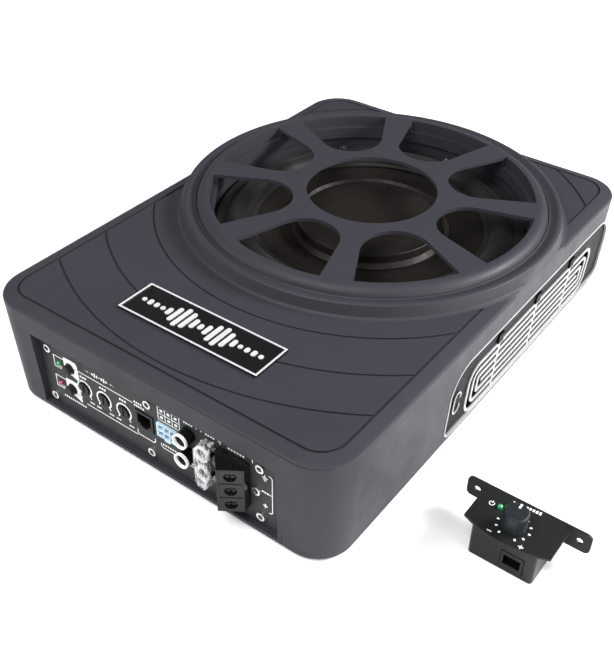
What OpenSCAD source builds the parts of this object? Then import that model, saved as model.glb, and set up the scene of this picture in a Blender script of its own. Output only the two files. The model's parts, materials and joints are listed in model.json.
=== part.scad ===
// Powered under-seat car subwoofer with its remote level control.
// Origin: centre of the footprint of the enclosure, on the surface that it stands on.
// +X runs along the control panel to the right, +Y from the panel to the back, +Z up.

/* [Enclosure] */
// Width of the enclosure at its widest line
enclosure_w = 242; // [236:1:248]
// Length of the enclosure at its widest line
enclosure_l = 340; // [334:1:346]
// Height of the flat deck above the floor
deck_z = 72; // [72:0.5:73]
// Height of the feet under the skirt
foot_h = 2; // [1.5:0.5:2.5]
// Thickness of the cast walls
wall = 3; // [2.5:0.5:3]
// Plan radius of the four corners
corner_r = 24; // [20:1:28]
// Inward lean of the walls from the widest line to the skirt
wall_lean = 3; // [2:0.5:3]
// Width of the sloping border between the deck groove and the widest line
border_w = 8.5; // [7:0.5:10]
// Drop of the sloping border
border_drop = 3; // [2:0.5:4]

/* [Woofer] */
// Distance of the woofer behind the middle of the enclosure
woofer_y = 43; // [40:1:45]
// Radius of the round well that holds the woofer
well_r = 103.5; // [103:0.5:104]
// Depth of the mounting ledge below the deck
ledge_depth = 15; // [15:0.5:15.5]
// Outer radius of the basket flange
basket_r = 101; // [100:0.5:102]
// Radius of the surround's crest
roll_r = 86; // [85:0.5:87]
// Radius of the dust cap's rim
cap_r = 48; // [46:1:50]
// Radius of the magnet
magnet_r = 55; // [50:1:58]
// Radius of the voice coil former's bore
coil_r = 25; // [25:0.1:25.2]

/* [Grille] */
// Height of the grille's face above the deck
grille_rise = 11.5; // [10:0.5:13]
// Outer radius of the grille's rim
rim_r = 112.5; // [112:0.5:113]
// Radius of the windows' outer arcs
window_r = 104; // [103:0.5:104]
// Radius of the round centre hole
hub_hole_r = 42; // [38:1:44]
// Number of petal windows
window_count = 8; // [8:1:8]
// Depth of the spokes
spoke_t = 2.5; // [2:0.5:5]

/* [Control panel] */
// Height of the three level, bass and filter controls
pot_z = 29; // [27:1:30]
// Spacing of the three rotary controls
pot_pitch = 15.5; // [14:0.5:16]
// Turning radius of the control shafts
pot_r = 3.4; // [3:0.1:3.6]
// Spacing of the two sockets in an RCA pair
rca_pitch = 14; // [14:0.5:15]
// Spacing of the power terminals
terminal_pitch = 10; // [9.5:0.5:10]

/* [Remote control] */
// Width of the remote's face plate
remote_w = 47.5; // [44:0.5:50]
// Height of the remote's face plate
remote_h = 31; // [30:0.5:34]
// Depth of the remote from face to back
remote_depth = 22; // [20:1:26]
// Radius of the remote's knob
remote_knob_r = 6.5; // [5:0.5:7]

/* [Hidden] */
$fn = 64;
hull_fn = 64;
clear = 0.3;
thin = 0.05;
half_w = enclosure_w / 2;
half_l = enclosure_l / 2;
skirt_z = foot_h;
crease_z = deck_z - border_drop;
lean_angle = atan(wall_lean / (crease_z - skirt_z));
ledge_z = deck_z - ledge_depth;
ledge_t = 3;
ledge_r = 92;
spoke_angles = [for (i = [0:window_count - 1]) (i + 0.5) * 360 / window_count];

// Boss ring that frames the grille
boss_top_z = deck_z + 8;
boss_crest_r = 118.5;
boss_foot_r = 125;
valley_z = deck_z + 6.4;
rim_gap = 0.15;
seat_z = deck_z + 1;

// Eight screws hold the grille from below and eight hold the basket to the ledge
ring_screw_count = 8;
grille_screw_circle = 109.8;
grille_screw_r = 1.4;
basket_screw_circle = 97;
basket_screw_r = 1.6;

// Deck grooves
groove_w = 1.6;
groove_d = 1.2;
arc_groove_w = 1.3;
arc_radii = [139.5, 169.5, 199.5];

// Nameplate
plate_w = 98;
plate_l = 26.8;
plate_y = -122.4;
plate_t = 1.4;
plate_frame = 1.1;

// Recess for the control panel, cut through the front wall
panel_y = -163.7;
panel_t = 2;
recess_x = [-87, 87];
recess_z = [5, 56];
recess_r = 2;
panel_x = [-90, 90];
panel_z = [4.3, 58.5];
screw_cols = [-80.3, -2.6, 74];
screw_rows = [10.8, 46];
screw_len = 3.5;
screw_r = 1.5;
extra_screw = [71.4, 28.5];
green_led = [-72.3, 38.7];
red_led = [-73.3, 23.5];
button_places = [[-64, 38.5], [-64.5, 23]];
button_r = 3.2;
button_out = 3.6;
button_travel = 2;
pot_x = -38.2;
rj_place = [-6.5, 31.3];
rj_size = [13.2, 12];
speaker_in_place = [11, 32.6];
speaker_in_size = [15, 9.8];
rca_xs = [25.8, 40.8];
rca_z = 33.5;
rca_r = 4.75;
rca_out = 7.5;
rca_depth = 9;
terminal_z = [15, 45];
terminal_mid = (terminal_z[0] + terminal_z[1]) / 2;
terminal_plan = [[47.4, -163.9], [67.2, -163.9], [68, -169.7], [56.4, -177.7], [47.2, -167.4]];
terminal_face = [62.2, -173.7];
terminal_turn = atan2(8, 11.6);
terminal_screw_r = 3;
wire_mouth = [51.8, -172.55];
wire_turn = -atan2(10.3, 9.2);
wire_r = 3;
terminal_screw_len = 7;

// Side vents
vent_y = 52;
vent_half_l = 107;
vent_top = 14;
vent_corner = 20;
vent_low_corner = 8;
fin_half_l = 84;
fin_top = 27;
fin_bottom = 63.5;
fin_pitch = 5.73;
fin_w = 2.1;
fin_rings = 3;
fin_corner = 11;
vent_depth = 1.2;
fin_t = 0.8;
divider_pitch = 49;

// Base plate and feet
base_t = 1.5;
base_gap = 0.4;
base_z = skirt_z;
base_top = base_z + base_t;
vent_bottom = crease_z - base_top - 0.6;
foot_r = 9;
foot_places = [for (x = [-90, 90], y = [-140, 140]) [x, y]];
base_screw_r = 1.6;
pillar_r = 4;
base_screw_places = [[-104, -156], [104, -156], [-98, 156], [98, 156], [0, 156], [-108, -75], [108, -75]];
nut_r = 4.5;
nut_bore_r = 2.1;
nut_h = 4;
nut_spacing = [150, 250];
nut_places = [for (x = [-1, 1], y = [-1, 1]) [x * nut_spacing[0] / 2, y * nut_spacing[1] / 2]];

// Woofer stack, heights above the floor
flange_t = 1.5;
basket_hole_r = 2;
flange_z = ledge_z;
surround_z = flange_z + flange_t;
roll_tube = 7.5;
rubber_t = 1;
cone_edge_r = roll_r - roll_tube;
cone_t = 1;
cap_rim_z = deck_z - 7.6;
cap_base_r = 52;
cap_base_z = 55.4;
neck_r = coil_r + 2.2;
neck_z = 46.5;
spider_z = 42;
spider_r = 64;
shelf_z = 40;
top_plate_z = 27;
top_plate_t = 6;
top_plate_top = top_plate_z + top_plate_t;
magnet_z = 11;
back_plate_z = 5.8;
pole_r = coil_r - 0.7;
former_t = 0.4;
winding_t = 0.8;
gap_r = coil_r + former_t + winding_t + 0.7;
former_z = [20, neck_z + 2];
winding_z = [21, 39];

// Amplifier
pcb_x = [-96, 96];
pcb_y = [-159.5, -68];
pcb_z = 11;
pcb_t = 1.6;
pcb_top = pcb_z + pcb_t;
standoff_places = [for (x = [-90, 90], y = [-150, -95]) [x, y]];

// Remote control, lying on its back beside the enclosure
remote_x = 184;
remote_y = -98;
remote_plate_t = 1.5;
remote_face_z = remote_depth;
remote_wing = 11;
remote_wing_d = 13;
remote_knob_h = 11;
remote_knob_y = -3;
remote_box_w = 36;
remote_box_l = 24;
remote_led_x = -11.3;
remote_led_y = 4.2;
remote_jack_x = 6;

// ---------- shared shapes ----------

// Points of a circular arc, for use in profiles
function arc(cx, cy, r, from, to, n) =
  [for (i = [0:n]) [cx + r * cos(from + (to - from) * i / n), cy + r * sin(from + (to - from) * i / n)]];

// A flat rounded rectangle given by its half sizes
module round_rect(hx, hy, r) {
  square([2 * hx, 2 * (hy - r)], center = true);
  square([2 * (hx - r), 2 * hy], center = true);
  for (x = [-1, 1], y = [-1, 1]) translate([x * (hx - r), y * (hy - r)]) circle(r);
}

// A rounded prism standing on height z
module round_prism(hx, hy, r, z, h) {
  translate([0, 0, z]) linear_extrude(h) round_rect(hx, hy, r);
}

// One thin level of the lofted enclosure, inset from the widest line
module level(inset, z) {
  r = corner_r - min(inset, corner_r - 8);
  for (x = [-1, 1], y = [-1, 1])
    translate([x * (half_w - inset - r), y * (half_l - inset - r), z - thin])
      cylinder(r = r, h = thin, $fn = hull_fn);
}

module at_woofer() {
  translate([0, woofer_y, 0]) children();
}

module woofer_ring(r_in, r_out, z, h) {
  at_woofer() translate([0, 0, z]) difference() {
    cylinder(r = r_out, h = h);
    translate([0, 0, -1]) cylinder(r = r_in, h = h + 2);
  }
}

// Turns a profile of radius and height about the woofer's axis
module woofer_turned(points) {
  at_woofer() rotate_extrude($fn = 96) polygon(points);
}

module around(count, r, first = 0) {
  for (i = [0:count - 1]) rotate([0, 0, first + i * 360 / count]) translate([r, 0, 0]) children();
}

module at_grille_screws() {
  at_woofer() around(ring_screw_count, grille_screw_circle, 22.5) children();
}

module at_basket_screws() {
  at_woofer() around(ring_screw_count, basket_screw_circle) children();
}

// Places a shape that points along +Z so that it points out of the control panel, towards -Y
module out_of_panel(place, y = panel_y) {
  translate([place[0], y, place[1]]) rotate([90, 0, 0]) children();
}

// Places a flat shape drawn in Y and depth below the widest line on the leaning side wall
module on_wall(side) {
  mirror([side < 0 ? 1 : 0, 0, 0])
    translate([half_w, vent_y, crease_z]) rotate([0, lean_angle, 0]) rotate([90, 0, 90]) children();
}

module pan_head_screw(r, head_r, head_h, len) {
  difference() {
    cylinder(r = head_r, h = head_h, $fn = 32);
    translate([-head_r * 0.65, -0.35, head_h - 0.6]) cube([head_r * 1.3, 0.7, 1]);
    translate([-0.35, -head_r * 0.65, head_h - 0.6]) cube([0.7, head_r * 1.3, 1]);
  }
  translate([0, 0, -len]) cylinder(r = r, h = len, $fn = 24);
}

// ---------- enclosure ----------

// Raised ring round the grille: a shallow valley beside the rim, a rounded crest and a hollow slope
module boss_ring() {
  crest = 3.4;
  profile = concat(
    [[well_r, crease_z], [well_r, seat_z], [rim_r + rim_gap, seat_z], [rim_r + rim_gap, valley_z + 0.4],
     [rim_r + rim_gap + 0.7, valley_z], [rim_r + rim_gap + 2, valley_z + 0.15]],
    arc(boss_crest_r, boss_top_z - crest, crest, 115, 50, 7),
    [[boss_foot_r - 2.2, deck_z + 1.2], [boss_foot_r - 0.8, deck_z + 0.3], [boss_foot_r, deck_z]],
    [[boss_foot_r, crease_z]]
  );
  intersection() {
    woofer_turned(profile);
    translate([-half_w, -half_l, 0]) cube([enclosure_w, enclosure_l, boss_top_z + 1]);
  }
}

module enclosure_outer() {
  hull() {
    level(wall_lean, skirt_z + thin);
    level(0, crease_z);
    level(0.5, crease_z + 0.9);
    level(1.8, crease_z + 1.6);
    level(border_w, deck_z);
  }
}

module enclosure_inner() {
  hull() {
    level(wall_lean + wall, skirt_z - 1);
    level(wall, crease_z - 1);
    level(border_w + wall, deck_z - wall);
  }
}

module deck_grooves() {
  difference() {
    round_prism(half_w - border_w, half_l - border_w, corner_r - border_w, deck_z - groove_d, 3);
    round_prism(half_w - border_w - groove_w, half_l - border_w - groove_w, corner_r - border_w - groove_w,
                deck_z - groove_d - 1, 6);
    at_woofer() cylinder(r = boss_foot_r, h = 200);
  }
  intersection() {
    round_prism(half_w - border_w - 0.5, half_l - border_w - 0.5, corner_r - border_w, deck_z - groove_d, 3);
    for (r = arc_radii) woofer_ring(r - arc_groove_w / 2, r + arc_groove_w / 2, deck_z - 1, 3);
  }
}

// Vent cover with large upper corners and small lower ones
module vent_outline(grow) {
  half_h = (vent_bottom - vent_top + vent_corner) / 2;
  intersection() {
    translate([0, -vent_top - vent_half_l])
      round_rect(vent_half_l + grow, vent_half_l + grow, vent_corner + grow);
    translate([0, half_h - vent_bottom])
      round_rect(vent_half_l + grow, half_h + grow, vent_low_corner + grow);
  }
}

module enclosure_shell() color([0.24, 0.25, 0.28]) {
  difference() {
    union() {
      difference() {
        union() {
          enclosure_outer();
          boss_ring();
        }
        enclosure_inner();
      }
      woofer_ring(ledge_r, well_r + 3.5, ledge_z - ledge_t, ledge_t);
      woofer_ring(well_r, well_r + 3.5, ledge_z - thin, deck_z - ledge_z - 2);
      // Collar between the wall and the control panel
      difference() {
        translate([recess_x[0] - 2.5, -half_l + 2.2, recess_z[0] - 1])
          cube([recess_x[1] - recess_x[0] + 5, half_l + panel_y - 2.4, recess_z[1] - recess_z[0] + 3.5]);
        translate([-half_w, -half_l - 5, -1]) cube([enclosure_w, 7.5, deck_z / 2]);
      }
      // Pillars for the base screws
      for (p = base_screw_places) translate([p[0], p[1], base_top])
        cylinder(r = pillar_r, h = deck_z - wall - base_top + 1);
    }
    at_woofer() translate([0, 0, ledge_z]) cylinder(r = well_r, h = 40);
    at_woofer() translate([0, 0, ledge_z - ledge_t - 1]) cylinder(r = ledge_r, h = 10);
    deck_grooves();
    translate([recess_x[0], -half_l - 5, recess_z[0]])
      cube([recess_x[1] - recess_x[0], 20, recess_z[1] - recess_z[0]]);
    for (side = [-1, 1]) on_wall(side) translate([0, 0, -12]) linear_extrude(20) vent_outline(0);
    for (p = base_screw_places) translate([p[0], p[1], 0]) cylinder(r = base_screw_r, h = base_top + 12);
    at_basket_screws() translate([0, 0, ledge_z - 20]) cylinder(r = basket_screw_r, h = 30);
    at_grille_screws() translate([0, 0, ledge_z]) cylinder(r = grille_screw_r, h = 40);
  }
}

module base_plate() color([0.13, 0.13, 0.14]) {
  inset = wall_lean + wall + base_gap;
  difference() {
    union() {
      round_prism(half_w - inset, half_l - inset, corner_r - inset, base_z, base_t);
      // Clinch nuts for the fixing brackets
      for (p = nut_places) translate([p[0], p[1], base_z]) cylinder(r = nut_r, h = base_t + nut_h);
    }
    for (p = base_screw_places) translate([p[0], p[1], 0]) cylinder(r = base_screw_r, h = 10);
    for (p = foot_places) translate([p[0], p[1], 0]) cylinder(r = 2.5, h = 10);
    for (p = nut_places) translate([p[0], p[1], 0]) cylinder(r = nut_bore_r, h = 20);
  }
}

module base_screws() color([0.55, 0.55, 0.58]) {
  for (p = base_screw_places)
    translate([p[0], p[1], base_z]) mirror([0, 0, 1]) pan_head_screw(base_screw_r - 0.02, 3, 1.6, 9);
}

module rubber_feet() color([0.06, 0.06, 0.06]) {
  for (p = foot_places) translate([p[0], p[1], 0]) {
    cylinder(r1 = foot_r - 1, r2 = foot_r, h = 1.2);
    translate([0, 0, 1.2]) cylinder(r = foot_r, h = base_z - 1.2);
    cylinder(r = 2.45, h = base_top + 1);
    translate([0, 0, base_top]) cylinder(r = 3.4, h = 1);
  }
}

module nameplate() color([0.05, 0.05, 0.05]) {
  translate([0, plate_y, deck_z]) {
    linear_extrude(plate_t - 0.3) square([plate_w, plate_l], center = true);
    linear_extrude(plate_t) difference() {
      square([plate_w, plate_l], center = true);
      square([plate_w - 2 * plate_frame, plate_l - 2 * plate_frame], center = true);
    }
  }
}

// ---------- grille ----------

module petal() {
  nose_r = 21.5;
  nose_u = 72.5;
  flare = 17;
  intersection() {
    circle(window_r, $fn = 96);
    union() {
      translate([nose_u, 0]) circle(nose_r);
      polygon([
        [nose_u - nose_r * sin(flare), nose_r * cos(flare)],
        [window_r + 3, nose_r * cos(flare) + (window_r + 3 - nose_u + nose_r * sin(flare)) * tan(flare)],
        [window_r + 3, -nose_r * cos(flare) - (window_r + 3 - nose_u + nose_r * sin(flare)) * tan(flare)],
        [nose_u - nose_r * sin(flare), -nose_r * cos(flare)]
      ]);
    }
  }
}

module grille_wheel() color([0.25, 0.26, 0.29]) {
  top = deck_z + grille_rise;
  nose = 7;
  difference() {
    union() {
      woofer_turned(concat(
        [[hub_hole_r, top - spoke_t], [hub_hole_r, top]],
        arc(rim_r - nose, top - nose, nose, 90, 0, 8),
        [[rim_r, seat_z + 0.2], [window_r + 1, seat_z + 0.2], [window_r - 2.6, seat_z + 0.2],
         [window_r - 2.6, top - spoke_t]]
      ));
      // Locating spigot inside the well
      woofer_ring(window_r - 2.6, well_r - clear, seat_z - 5, 6);
    }
    at_woofer() for (i = [0:window_count - 1]) rotate([0, 0, i * 360 / window_count])
      translate([0, 0, top - spoke_t - 5]) linear_extrude(spoke_t + 10) petal();
    at_woofer() translate([0, 0, seat_z - 10]) cylinder(r = window_r - 2.6, h = top - spoke_t - seat_z + 10);
    at_grille_screws() cylinder(r = grille_screw_r, h = seat_z + 5);
  }
}

module grille_screws() color([0.6, 0.6, 0.62]) {
  at_grille_screws() translate([0, 0, crease_z]) mirror([0, 0, 1])
    pan_head_screw(grille_screw_r - 0.02, 2.4, 1.4, seat_z - crease_z + 4.5);
}

// ---------- side vents ----------

module fin_ring_shape(i) {
  h = fin_bottom - fin_top;
  translate([0, -(fin_top + fin_bottom) / 2])
    round_rect(fin_half_l - i * fin_pitch, h / 2 - i * fin_pitch, max(fin_corner - 4 * i, 2));
}

module fin_shapes() {
  for (i = [0:fin_rings - 1]) difference() {
    fin_ring_shape(i);
    translate([0, -(fin_top + fin_bottom) / 2])
      round_rect(fin_half_l - i * fin_pitch - fin_w, (fin_bottom - fin_top) / 2 - i * fin_pitch - fin_w,
                 max(fin_corner - 4 * i - fin_w, 1));
  }
  translate([0, -(fin_top + fin_bottom) / 2])
    square([2 * (fin_half_l - fin_rings * fin_pitch), fin_w], center = true);
}

module divider_shapes() {
  for (i = [-1:1]) translate([i * divider_pitch - 1, -fin_bottom + 0.5])
    square([2, fin_bottom - fin_top - 1]);
}

module vent_panel(side) color([0.05, 0.05, 0.055]) {
  on_wall(side) {
    translate([0, 0, -vent_depth - 2]) linear_extrude(2) difference() {
      vent_outline(-0.2);
      difference() {
        fin_ring_shape(0);
        fin_shapes();
        divider_shapes();
      }
    }
    for (i = [-1:1]) translate([i * divider_pitch - 3, -fin_top - 0.4, -vent_depth])
      cube([6, 6.4, fin_t + 0.3]);
    translate([-96, -40, -vent_depth]) cylinder(r = 4, h = 0.4);
  }
}

module vent_fins(side) color([0.75, 0.76, 0.78]) {
  on_wall(side) {
    translate([0, 0, -vent_depth]) linear_extrude(fin_t) difference() {
      fin_shapes();
      for (i = [-1:1]) translate([i * divider_pitch - 3.1, -fin_top - 0.5]) square([6.2, 6.6]);
    }
    translate([0, 0, -vent_depth]) linear_extrude(fin_t - 0.2) difference() {
      divider_shapes();
      fin_shapes();
      for (i = [-1:1]) translate([i * divider_pitch - 3.1, -fin_top - 0.5]) square([6.2, 6.6]);
    }
  }
}

module vent_trim(side) color([0.78, 0.79, 0.8]) {
  on_wall(side) translate([0, 0, -vent_depth]) linear_extrude(vent_depth + 0.3) difference() {
    vent_outline(-0.2);
    vent_outline(-1.3);
  }
}

// ---------- woofer ----------

module woofer_basket() color([0.09, 0.09, 0.1]) {
  difference() {
    union() {
      woofer_ring(87, basket_r, flange_z, flange_t);
      woofer_turned([
        [88.5, flange_z + flange_t], [86.5, flange_z + 0.3], [80, shelf_z + 3.6], [72, shelf_z + 1.8],
        [spider_r - 3, shelf_z + 1.8], [spider_r - 3, shelf_z], [58, top_plate_top + 2],
        [gap_r + 4, top_plate_top + 2], [gap_r + 4, top_plate_top], [60, top_plate_top],
        [spider_r, shelf_z - 2], [73.5, shelf_z], [82, shelf_z + 2], [88.5, flange_z]
      ]);
    }
    at_woofer() for (i = [0:5]) rotate([0, 0, i * 60]) translate([66, -17, top_plate_z])
      cube([20, 34, shelf_z + 14 - top_plate_z]);
    at_basket_screws() cylinder(r = basket_hole_r, h = deck_z);
  }
}

module basket_screws() color([0.3, 0.3, 0.31]) {
  at_basket_screws() translate([0, 0, surround_z + 2.4]) pan_head_screw(basket_screw_r - 0.05, 3.2, 1.8, 8.5);
}

module woofer_gasket() color([0.07, 0.07, 0.07]) {
  difference() {
    woofer_ring(roll_r + roll_tube + 0.2, basket_r - 0.5, surround_z + rubber_t, 1.4);
    at_basket_screws() cylinder(r = basket_hole_r, h = deck_z);
  }
}

module woofer_surround() color([0.08, 0.08, 0.08]) {
  edge = asin(rubber_t / roll_tube);
  difference() {
    woofer_turned(concat(
      [[basket_r - 0.5, surround_z], [basket_r - 0.5, surround_z + rubber_t]],
      arc(roll_r, surround_z, roll_tube, edge, 180 - edge, 16),
      [[cone_edge_r - 4, surround_z + rubber_t], [cone_edge_r - 4, surround_z + 0.05]],
      arc(roll_r, surround_z, roll_tube - rubber_t, 180, 0, 16)
    ));
    at_basket_screws() cylinder(r = basket_hole_r, h = deck_z);
  }
}

module woofer_spider() color([0.75, 0.62, 0.35]) {
  step = 5.8;
  inner = coil_r + former_t;
  waves = [for (i = [0:6]) [inner + 3 + i * step, spider_z + (i % 2 == 0 ? 0 : 2)]];
  woofer_turned(concat([[inner, spider_z]], waves, [[spider_r + 4, spider_z]],
                       [[spider_r + 4, spider_z + 0.8]],
                       [for (i = [6:-1:0]) [waves[i][0], waves[i][1] + 0.8]], [[inner, spider_z + 0.8]]));
}

module woofer_cone() color([0.1, 0.08, 0.07]) {
  woofer_turned([
    [neck_r - 1.8, neck_z - 0.5], [neck_r, neck_z - 0.5], [cap_base_r, cap_base_z - cone_t - 0.2],
    [cone_edge_r - 1, surround_z - cone_t], [cone_edge_r, surround_z - cone_t], [cone_edge_r, surround_z],
    [cone_edge_r - 1, surround_z], [cap_base_r, cap_base_z - 0.2], [neck_r - 0.5, neck_z + 1.2],
    [neck_r - 1.8, neck_z + 1.2]
  ]);
}

module dust_cap() color([0.12, 0.1, 0.09]) {
  crown = 2.4;
  woofer_turned(concat(
    [[cap_base_r, cap_base_z - 0.15], [cap_base_r, cap_base_z + 0.9]],
    [[cap_r + 1.2, cap_base_z + 3.5], [cap_r + 0.7, cap_rim_z - 1]],
    arc(cap_r - 0.4, cap_rim_z - 1, 1, 0, 110, 4),
    [[cap_r - 2.2, cap_rim_z - 1.8], [28, cap_rim_z - 2.2 + crown - 0.8], [0, cap_rim_z - 2.2 + crown]],
    [[0, cap_rim_z - 3.2 + crown], [28, cap_rim_z - 3.2 + crown - 0.8], [cap_r - 3, cap_rim_z - 3.2],
     [cap_r - 0.6, cap_rim_z - 2], [cap_r - 0.2, cap_base_z + 3.4], [cap_base_r - 1.5, cap_base_z + 0.4],
     [cap_base_r - 1.5, cap_base_z - 0.3]]
  ));
}

module voice_coil_former() color([0.8, 0.68, 0.42]) {
  woofer_ring(coil_r, coil_r + former_t, former_z[0], former_z[1] - former_z[0]);
}

module voice_coil_winding() color([0.72, 0.4, 0.2]) {
  woofer_ring(coil_r + former_t, coil_r + former_t + winding_t, winding_z[0], winding_z[1] - winding_z[0]);
}

module top_plate() color([0.6, 0.6, 0.63]) {
  woofer_ring(gap_r, magnet_r - 2, top_plate_z, top_plate_t);
}

module magnet() color([0.2, 0.2, 0.22]) {
  woofer_ring(gap_r + 3, magnet_r, magnet_z, top_plate_z - magnet_z);
}

module pole_yoke() color([0.6, 0.6, 0.63]) {
  at_woofer() difference() {
    union() {
      translate([0, 0, back_plate_z]) cylinder(r = magnet_r - 2, h = magnet_z - back_plate_z);
      translate([0, 0, back_plate_z]) cylinder(r = pole_r, h = top_plate_z + top_plate_t - back_plate_z);
    }
    translate([0, 0, back_plate_z - 1]) cylinder(r = 8, h = 60);
  }
}

// ---------- control panel ----------

module panel_hole(place, r) {
  out_of_panel(place) translate([0, 0, -20]) cylinder(r = r, h = 40);
}

module panel_window(place, size) {
  translate([place[0] - size[0] / 2, panel_y - 5, place[1] - size[1] / 2]) cube([size[0], 20, size[1]]);
}

panel_screw_places = concat([for (x = screw_cols, z = screw_rows) [x, z]], [extra_screw]);
pot_places = [for (i = [-1:1]) [pot_x + i * pot_pitch, pot_z]];
rca_places = [for (x = rca_xs, s = [-1, 1]) [x, rca_z + s * rca_pitch / 2]];

module control_panel() color([0.2, 0.21, 0.22]) {
  difference() {
    translate([panel_x[0], panel_y, panel_z[0]])
      cube([panel_x[1] - panel_x[0], panel_t, panel_z[1] - panel_z[0]]);
    for (p = panel_screw_places) panel_hole(p, screw_r);
    panel_hole(green_led, 1.6);
    panel_hole(red_led, 1.6);
    for (p = button_places) panel_hole(p, button_r + clear);
    for (p = pot_places) panel_hole(p, pot_r + clear);
    for (p = rca_places) panel_hole(p, rca_r + 0.05);
    panel_window(rj_place, rj_size);
    panel_window(speaker_in_place, speaker_in_size);
    panel_window([57.3, terminal_mid], [19.4, terminal_z[1] - terminal_z[0] - 0.6]);
  }
}

module panel_screws() color([0.75, 0.75, 0.77]) {
  for (p = panel_screw_places) out_of_panel(p) {
    difference() {
      cylinder(r = 2.65, h = 1.4, $fn = 32);
      translate([0, 0, 0.2]) cylinder(r = 1.75, h = 2, $fn = 6);
    }
    translate([0, 0, -screw_len]) cylinder(r = screw_r - 0.02, h = screw_len, $fn = 24);
  }
}

module led(place) {
  out_of_panel(place) {
    translate([0, 0, -panel_t - 4]) cylinder(r = 1.5, h = panel_t + 4.6);
    translate([0, 0, 0.6]) sphere(r = 1.5, $fn = 32);
    translate([0, 0, -panel_t - 5]) cylinder(r = 1.9, h = 1.5);
  }
}

module power_led() color([0.1, 0.75, 0.35]) led(green_led);
module protect_led() color([0.8, 0.1, 0.2]) led(red_led);

module push_button(place) color([0.04, 0.04, 0.04]) {
  out_of_panel(place) {
    translate([0, 0, -panel_t - button_travel - 1])
      cylinder(r = button_r, h = panel_t + button_travel + 1 + button_out - 0.6);
    translate([0, 0, button_out - 0.6]) cylinder(r1 = button_r, r2 = button_r - 0.6, h = 0.6);
    translate([0, 0, -panel_t - button_travel - 4.5]) cylinder(r = 1.5, h = 4);
  }
}

module phase_button() push_button(button_places[0]);
module auto_on_button() push_button(button_places[1]);

module control_shaft(place) color([0.03, 0.03, 0.03]) {
  out_of_panel(place) difference() {
    union() {
      translate([0, 0, -panel_t - 1]) cylinder(r = pot_r, h = panel_t + 1.8);
      translate([0, 0, -panel_t - 3]) cylinder(r = 2, h = 3);
    }
    translate([-0.5, -pot_r * 0.85, 0]) cube([1, pot_r * 1.7, 2]);
  }
}

module level_control() control_shaft(pot_places[0]);
module bass_control() control_shaft(pot_places[1]);
module filter_control() control_shaft(pot_places[2]);

// Bodies of the rotary controls and push switches, on the board behind the panel
module control_bodies() color([0.16, 0.2, 0.32]) {
  for (p = pot_places) out_of_panel(p, panel_y + panel_t + 1.3) difference() {
    translate([-5, pcb_top - p[1], -9]) cube([10, p[1] - pcb_top + 6, 9]);
    translate([0, 0, -2.2]) cylinder(r = 2.3, h = 5);
  }
  for (p = button_places) out_of_panel(p, panel_y + panel_t + 6.3) difference() {
    translate([-4, -5, -9]) cube([8, 10, 9]);
    translate([0, 0, -4.5]) cylinder(r = 1.8, h = 10);
  }
}

module remote_socket() color([0.04, 0.04, 0.04]) {
  x = rj_place[0];
  z = rj_place[1];
  difference() {
    translate([x - rj_size[0] / 2 + 0.05, panel_y - 0.8, z - rj_size[1] / 2 + 0.05])
      cube([rj_size[0] - 0.1, 16, rj_size[1] - 0.1]);
    translate([x - 4.9, panel_y - 2, z - 2.6]) cube([9.8, 13, 6.8]);
    translate([x - 3.2, panel_y - 2, z - 4.2]) cube([6.4, 13, 3]);
    translate([x - 1.7, panel_y - 2, z - 5.2]) cube([3.4, 13, 2]);
  }
  translate([x - 6, panel_y + 3, pcb_top]) cube([12, 12, z - rj_size[1] / 2 - pcb_top + 0.05]);
}

// The six ways of the speaker-level input
module at_input_ways() {
  for (i = [-1:1], j = [-1, 1])
    translate([speaker_in_place[0] + i * 4.4, panel_y + 3, speaker_in_place[1] + j * 2.2]) children();
}

module speaker_input_socket() color([0.85, 0.9, 0.95]) {
  x = speaker_in_place[0];
  z = speaker_in_place[1];
  difference() {
    union() {
      translate([x - speaker_in_size[0] / 2 + 0.05, panel_y - 1.6, z - speaker_in_size[1] / 2 + 0.05])
        cube([speaker_in_size[0] - 0.1, 14, speaker_in_size[1] - 0.1]);
      translate([x - 2, panel_y - 1.6, z - speaker_in_size[1] / 2 - 1.4]) cube([4, 1.5, 1.5]);
      translate([x - 6, panel_y + 4, pcb_top]) cube([12, 8, z - speaker_in_size[1] / 2 - pcb_top + 0.1]);
    }
    at_input_ways() cube([3.4, 12, 3.4], center = true);
  }
}

module speaker_input_pins() color([0.85, 0.8, 0.6]) {
  at_input_ways() translate([0, 2.25, 0]) cube([1, 7.5, 1], center = true);
}

module rca_housing(x) color([0.05, 0.05, 0.05]) {
  difference() {
    union() {
      for (s = [-1, 1]) out_of_panel([x, rca_z + s * rca_pitch / 2]) translate([0, 0, -panel_t - 1])
        cylinder(r = rca_r, h = rca_out + panel_t - 0.5);
      translate([x - 5.6, panel_y + panel_t + 0.1, pcb_top])
        cube([11.2, 13, rca_z + rca_pitch / 2 + 6 - pcb_top]);
    }
    for (s = [-1, 1]) out_of_panel([x, rca_z + s * rca_pitch / 2]) translate([0, 0, -rca_depth])
      cylinder(r = 3.9, h = 30);
  }
}

module rca_in_housing() rca_housing(rca_xs[0]);
module rca_out_housing() rca_housing(rca_xs[1]);

module rca_insulators() color([0.92, 0.92, 0.9]) {
  for (p = rca_places) out_of_panel(p) {
    translate([0, 0, rca_out - 1.5]) difference() {
      cylinder(r = rca_r, h = 1.5);
      translate([0, 0, -1]) cylinder(r = 3.9, h = 4);
    }
    translate([0, 0, -rca_depth]) difference() {
      cylinder(r = 2.9, h = rca_depth - 1);
      translate([0, 0, -1]) cylinder(r = 1.7, h = 12);
    }
  }
}

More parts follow.
